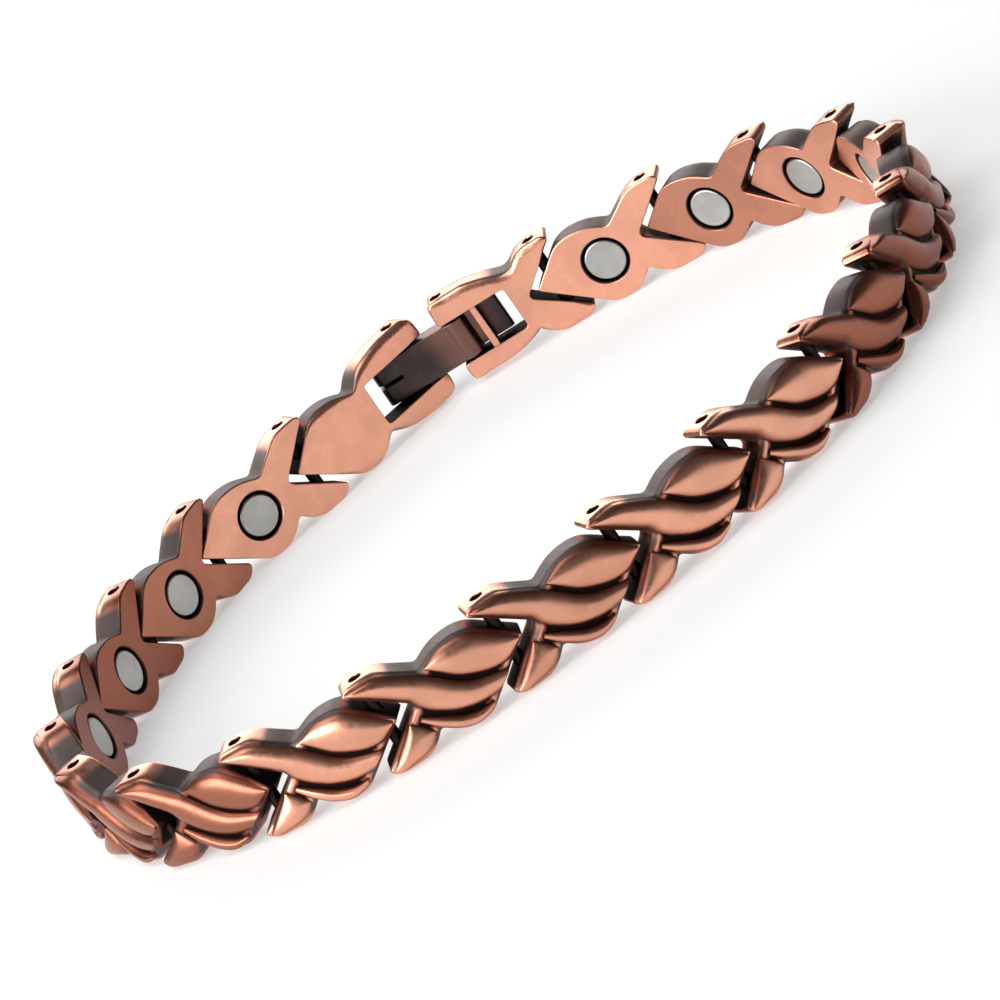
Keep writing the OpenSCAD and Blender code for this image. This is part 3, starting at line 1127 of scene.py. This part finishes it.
class BRACELET_OT_clasp_links(bpy.types.Operator):
    """Model the two forked links that the clasp joins"""

    bl_idname = "bracelet.clasp_links"
    bl_label = "Clasp Links"

    def execute(self, context):
        loop = loop_plan()
        chain, clasp = in_mm(context.scene.bracelet_chain), in_mm(context.scene.bracelet_clasp)
        half = clasp.window / 2
        shift, end = clasp.nose_link - chain.pitch, NOSE_FORK_TOP[-1][0]
        nose = smooth_outline([
            shifted(HEAD_TOP, shift), NOSE_FORK_TOP, [(end, half), (NOSE_FORK_ROOT, half)],
            [(NOSE_FORK_ROOT, -half), (end, -half)], NOSE_FORK_FOOT, shifted(HEAD_FOOT, shift)])
        end = TAIL_FORK_TOP[0][0]
        tail = smooth_outline([
            TAIL_FORK_TOP, UPPER_PRONG[2:], CROTCH, LOWER_PRONG, TAIL_FORK_FOOT,
            [(end, -half), (TAIL_FORK_ROOT, -half)], [(TAIL_FORK_ROOT, half), (end, half)]])

        def arm_round(point):
            return ARM_ROUND + clasp.rim * ramp(abs(point[1]), half + 0.1, half + 0.7)

        # Darker on the steep walls beside a window
        def window_darkening(vertex):
            beside = 1 - ramp(abs(vertex.co.y), half, half + 0.3)
            return WINDOW_DARKENING * (1 - abs(vertex.normal.z)) * beside

        for node, outline, bars, reach, at, heading in (
                ("clasp_nose_link", nose, [], clasp.nose_link, loop.snap_pin, loop.nose_heading),
                ("clasp_tail_link", tail, [STOP_BAR], clasp.tail_link, loop.pins[-1],
                 loop.tail_heading)):
            piece = add_plate(outline, clasp.plate, arm_round, outer_round)
            combine(piece, [add_box(*bar, STOP_BAR_ROUND) for bar in bars], "UNION")
            combine(piece, [add_pin_bore(0), add_pin_bore(reach)], "DIFFERENCE")
            outward(piece)
            grid_flats(piece)
            smooth_faces(piece)
            mark_walls(piece, clasp.plate)
            mark(piece, "shelter", window_darkening)
            set_in_loop(piece, at, heading)
            dress(piece, "forked", node, copper_material())
        return {"FINISHED"}


class BRACELET_OT_blade(bpy.types.Operator):
    """Model the blade that bridges the clasp, with its barrel, snap groove, slit and thumb tab"""

    bl_idname = "bracelet.blade"
    bl_label = "Clasp Blade"

    def execute(self, context):
        loop = loop_plan()
        chain, clasp = in_mm(context.scene.bracelet_chain), in_mm(context.scene.bracelet_clasp)
        axis, width = chain.pin_depth, clasp.blade_width
        low, high = axis - clasp.blade / 2, axis + clasp.blade / 2
        span, barrel = clasp.blade_span, clasp.barrel / 2
        end, tab = span + clasp.blade_nose, -clasp.tab
        mouth = chain.pin / 2 + SNAP_GAP

        def on_barrel(height):
            return math.degrees(math.asin((height - axis) / barrel))

        barrel_top = arc((0, axis), barrel, on_barrel(high), 180 - on_barrel(TAB_HIGH))
        barrel_foot = arc((0, axis), barrel, 180 - on_barrel(TAB_LOW), 360 + on_barrel(low))
        snap = arc((span, axis), mouth, 360, 180)
        nose = [(end - 0.4, low), (end - 0.08, low + 0.15), (end, low + 0.5), (end, high - 0.6),
                (end - 0.15, high - 0.2), (end - 0.5, high)]
        tip = [(tab + 0.5, TAB_HIGH), (tab + 0.1, TAB_HIGH - 0.05), (tab, TAB_HIGH - 0.3),
               (tab + 0.05, TAB_LOW + 0.1), (tab + 0.35, TAB_LOW)]
        profile = smooth_outline([
            barrel_foot[-1:], nose, [(span + mouth, high)], snap, [(span - mouth, high)],
            barrel_top, tip, barrel_foot], 0.1, 1)
        blade = add_plate(profile, width, lambda point: BLADE_ROUND, lambda point: BLADE_ROUND)
        blade.matrix_world = (Matrix.Translation((0, width / 2, 0))
                              @ Matrix.Rotation(math.pi / 2, 4, "X"))
        apply_place(blade)
        slit_half = SLIT_WIDTH / 2
        slit = add_box((span + SLIT_ROOT, -slit_half, -1), (end + 1, slit_half, high - SLIT_ROOF))
        grooves = [add_box((tab + x, -width, TAB_HIGH - GROOVE_DEPTH),
                           (tab + x + GROOVE_WIDTH, width, 3), 0.03) for x in RIDGE_GROOVES]
        cheek = clasp.tab_width / 2 + 1
        cheeks = [add_box((tab - 1, way * cheek - 1, -1), (-barrel, way * cheek + 1, 3))
                  for way in (-1, 1)]
        combine(blade, [slit, add_pin_bore(0), *grooves, *cheeks], "DIFFERENCE")
        outward(blade)
        smooth_faces(blade)
        # Bronze in the middle and dark metal at both ends; the black at the free end is painted
        # shade, where the blade lies deep in the window
        mark(blade, "bronze_out_of_shade", lambda vertex: (
            ramp(vertex.co.x, tab, tab * 0.3) * (1 - ramp(vertex.co.x, 0.2 * span, 0.8 * span))))
        set_in_loop(blade, loop.turn_pin, loop.tail_heading)
        dress(blade, "folding", "clasp_blade", blade_material(), "blade")
        return {"FINISHED"}


class BRACELET_OT_clasp_shade(bpy.types.Operator):
    """Mark painted shade on the clasp's links where the blade, the pins and the neighbouring links
    close in
    """

    bl_idname = "bracelet.patina"
    bl_label = "Clasp Patina"

    def execute(self, context):
        names = ["forked_clasp_nose_link", "forked_clasp_tail_link", "folding_clasp_blade",
                 "cast_link_01", "cast_link_19", "domed_hinge_pins", "domed_nose_fork_pin",
                 "domed_tail_fork_pin"]
        around = [(bpy.data.objects[name].data, Matrix.Identity(4)) for name in names]
        for name in names[:2]:
            # Shade painted where the blade, the pins and the neighbouring links close in
            mark_hollow_and_shade(bpy.data.objects[name], around, HOLLOW_AND_SHADE_REACH * MM)
        return {"FINISHED"}


class BRACELET_OT_stage(bpy.types.Operator):
    """Set up the camera, the pale floor and soft studio light"""

    bl_idname = "bracelet.stage"
    bl_label = "Stage"

    def execute(self, context):
        add_camera(context.scene)
        bpy.ops.object.select_all(action="DESELECT")
        bpy.ops.mesh.primitive_plane_add(size=6)
        floor = context.object
        floor.name = "floor"
        floor.data.materials.append(floor_material())
        add_light("left_softbox", (-0.75, -0.4, 0.3), 0.8, 0.5, 9.0)
        add_light("back_softbox", (0.0, 0.85, 0.4), 1.2, 0.4, 5.0)
        add_light("top_softbox", (-0.3, -0.1, 0.8), 0.6, 0.6, 4.0)
        world = bpy.data.worlds.new("studio")
        world.use_nodes = True
        sky = world.node_tree.nodes["Background"].inputs
        sky["Color"].default_value = (0.9, 0.93, 1.0, 1.0)
        sky["Strength"].default_value = 0.1
        context.scene.world = world
        context.scene.view_settings.view_transform = "Standard"
        return {"FINISHED"}


def add_camera(scene):
    """Camera that looks down along +Y, rolled about its line of sight"""
    stage = scene.bracelet_stage
    down, roll = stage.elevation, stage.roll
    right = Vector((1, 0, 0))
    up = Vector((0, math.sin(down), math.cos(down)))
    forward = Vector((0, math.cos(down), -math.sin(down)))
    middle = Vector((0, 0, scene.bracelet_chain.band_width / 2))
    place = middle - stage.aim_left * right - stage.aim_low * up - stage.distance * forward
    across = right * math.cos(roll) - up * math.sin(roll)
    along = up * math.cos(roll) + right * math.sin(roll)
    turn = Matrix((across, along, -forward)).transposed()
    bpy.ops.object.camera_add(location=place, rotation=turn.to_euler())
    camera = bpy.context.object
    camera.data.lens = stage.focal / MM
    camera.data.clip_start = 0.01
    scene.camera = camera


def add_light(name, place, width, height, power):
    """Rectangular softbox that faces the bracelet"""
    facing = (-Vector(place)).to_track_quat("-Z", "Y").to_euler()
    bpy.ops.object.light_add(type="AREA", location=place, rotation=facing)
    light = bpy.context.object
    light.name = name
    light.data.shape = "RECTANGLE"
    light.data.size = width
    light.data.size_y = height
    light.data.energy = power


class BRACELET_PT_panel(bpy.types.Panel):
    """Settings and makers of the bracelet"""

    bl_idname = "BRACELET_PT_panel"
    bl_label = "Copper Link Bracelet"
    bl_space_type = "VIEW_3D"
    bl_region_type = "UI"
    bl_category = "Bracelet"

    def draw(self, context):
        layout = self.layout
        for operator in OPERATORS:
            layout.operator(operator.bl_idname)
        for name, group in SETTINGS.items():
            box = layout.box()
            box.label(text=group.__doc__)
            for setting in group.__annotations__:
                box.prop(getattr(context.scene, name), setting)


SETTINGS = {
    "bracelet_chain": ChainSettings,
    "bracelet_magnets": MagnetSettings,
    "bracelet_clasp": ClaspSettings,
    "bracelet_finish": FinishSettings,
    "bracelet_stage": StageSettings,
}
OPERATORS = (BRACELET_OT_stage, BRACELET_OT_links, BRACELET_OT_magnets, BRACELET_OT_pins,
             BRACELET_OT_clasp_links, BRACELET_OT_blade, BRACELET_OT_clasp_shade)


def register():
    for group in SETTINGS.values():
        bpy.utils.register_class(group)
    for operator in OPERATORS:
        bpy.utils.register_class(operator)
    bpy.utils.register_class(BRACELET_PT_panel)
    for name, group in SETTINGS.items():
        setattr(bpy.types.Scene, name, PointerProperty(type=group))


def unregister():
    for name in SETTINGS:
        delattr(bpy.types.Scene, name)
    bpy.utils.unregister_class(BRACELET_PT_panel)
    for operator in reversed(OPERATORS):
        bpy.utils.unregister_class(operator)
    for group in reversed(SETTINGS.values()):
        bpy.utils.unregister_class(group)


def main():
    register()
    bpy.ops.bracelet.stage()
    bpy.ops.bracelet.links()
    bpy.ops.bracelet.magnets()
    bpy.ops.bracelet.pins()
    bpy.ops.bracelet.clasp_links()
    bpy.ops.bracelet.blade()
    bpy.ops.bracelet.patina()


if __name__ == "__main__":
    main()
